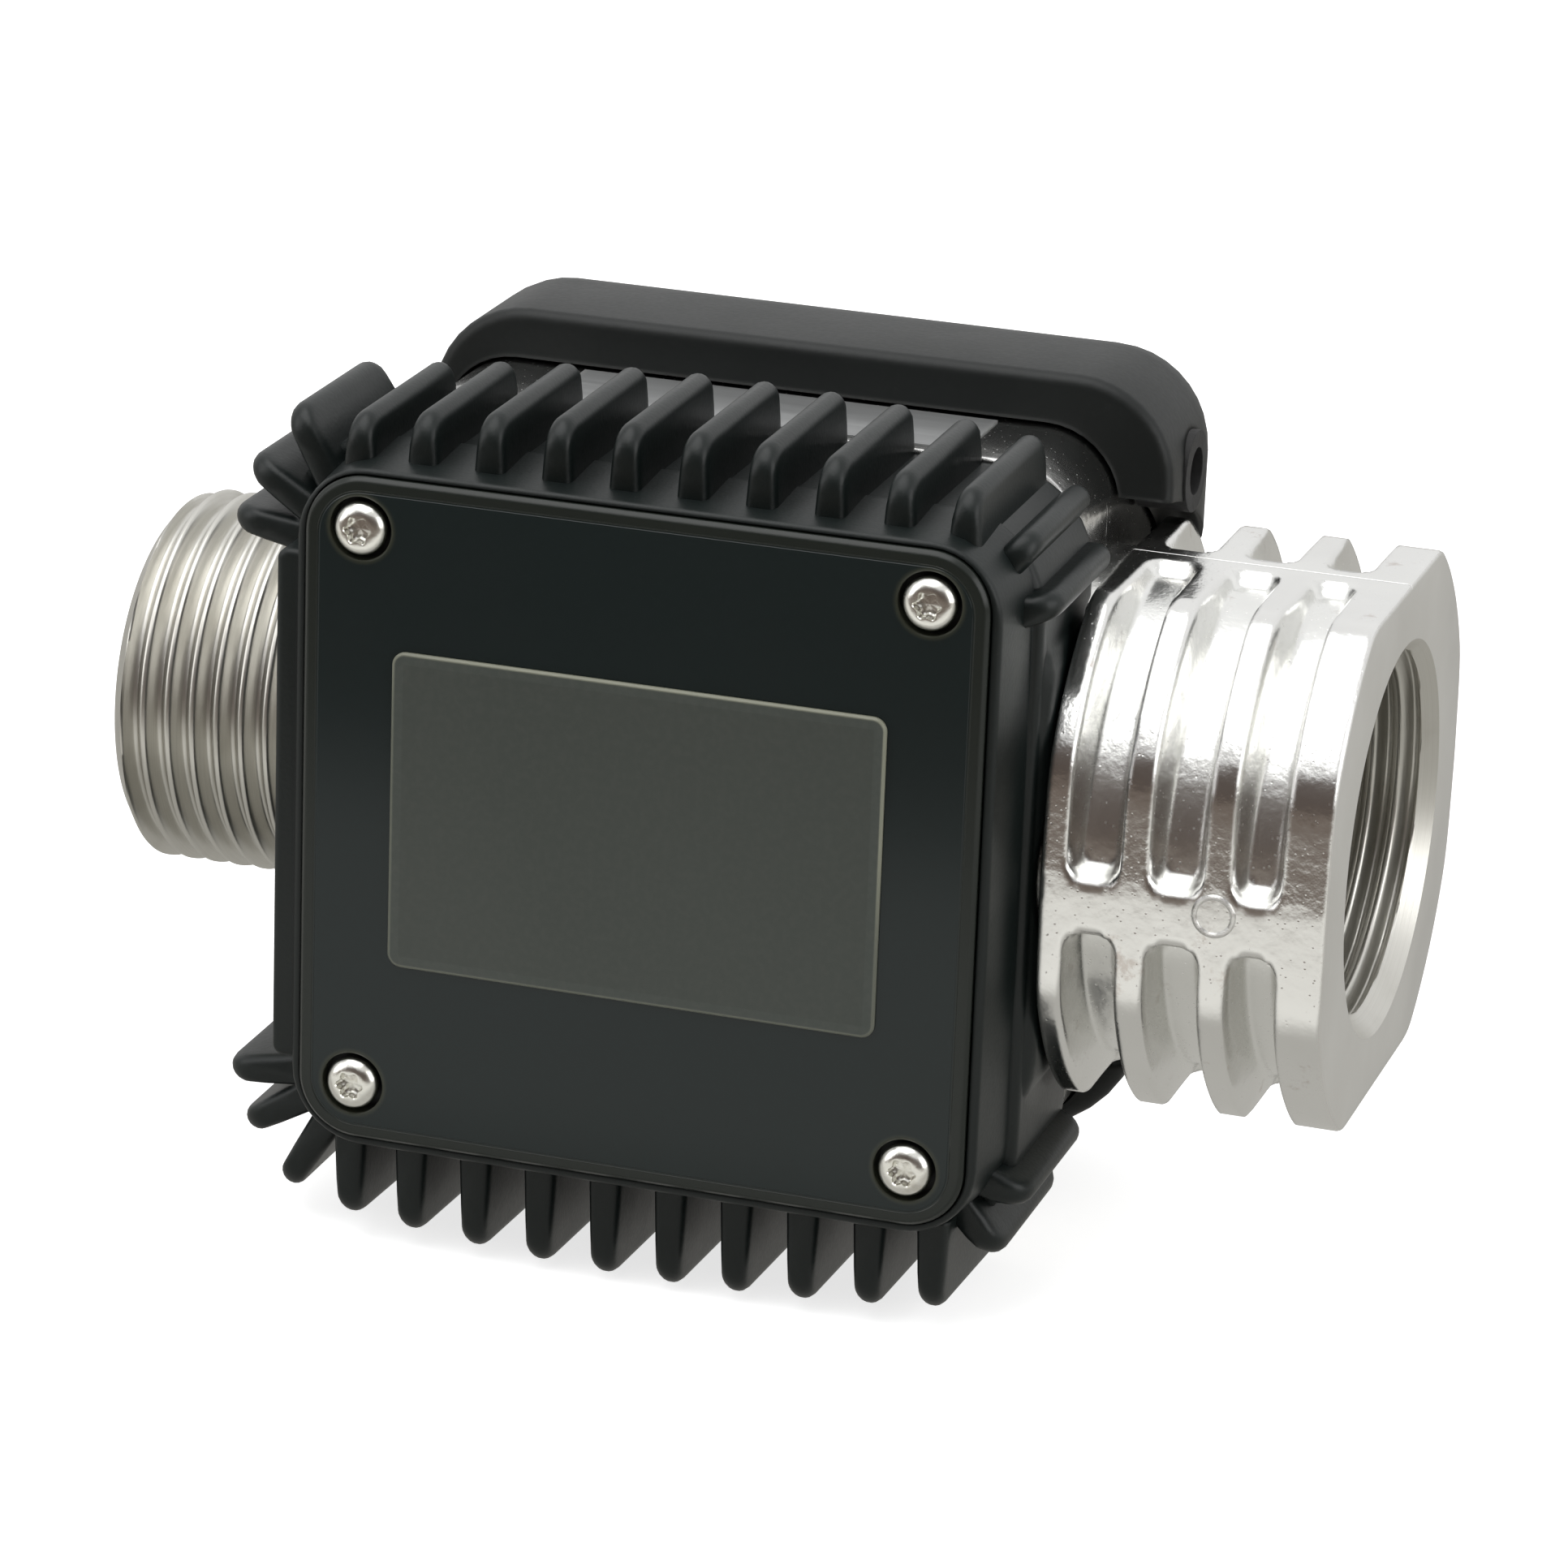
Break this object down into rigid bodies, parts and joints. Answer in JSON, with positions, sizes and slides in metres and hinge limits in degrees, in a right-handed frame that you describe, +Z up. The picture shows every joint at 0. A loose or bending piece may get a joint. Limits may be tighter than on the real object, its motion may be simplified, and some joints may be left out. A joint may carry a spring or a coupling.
{
  "type": "turbine flow meter",
  "caption": "Inline turbine flow meter with male and female pipe thread ports, finned front cover with window plate, and an axial turbine wheel that spins in the bore.",
  "frame": {"origin": "on the flow axis, midway between the left and right cover screws, at the middle of the turbine wheel", "axes": "+X along the flow axis towards the female port, +Y from the window plate to the rear cover, +Z up"},
  "size_m": [0.1107, 0.0561, 0.0765],
  "materials": {
    "cast": "bright as-cast",
    "cover": "black satin",
    "window": "dark tinted clear plate",
    "label": "plain grey film",
    "rubber": "matte",
    "screw": "bright zinc",
    "board": "green solder mask",
    "reed": "green tinted glass tube",
    "terminal": "moulded green",
    "rear": "fine textured black",
    "sleeve": "natural moulded",
    "support": "natural moulded",
    "bush": "machined",
    "rotor": "white moulded",
    "magnet": "nickel plated",
    "shaft": "ground",
    "ring": "blackened spring steel",
    "sticker": "bare paper film"
  },
  "bodies": {
    "housing": {"meter_body": "cast", "finned_cover": "cover", "front_window": "window", "rating_label": "label", "window_gasket": "rubber", "cover_screws": "screw", "cover_gasket": "rubber", "circuit_board": "board", "board_screws": "screw", "reed_switch": "reed", "terminal_block": "terminal", "rear_cover": "rear", "rear_screws": "screw", "cable_gland": "rubber", "body_label": "sticker", "measuring_sleeve": "sleeve", "sleeve_seals": "rubber", "inlet_support": "support", "outlet_support": "support", "inlet_bush": "bush", "outlet_bush": "bush", "retaining_ring": "ring"},
    "rotor": {"turbine_rotor": "rotor", "rotor_magnets": "magnet", "rotor_shaft": "shaft"}
  },
  "joints": [
    {"name": "rotor_spin", "type": "hinge", "parent": "housing", "child": "rotor", "pos_m": [0, 0, 0], "axis": [1, 0, 0], "continuous": true}
  ]
}
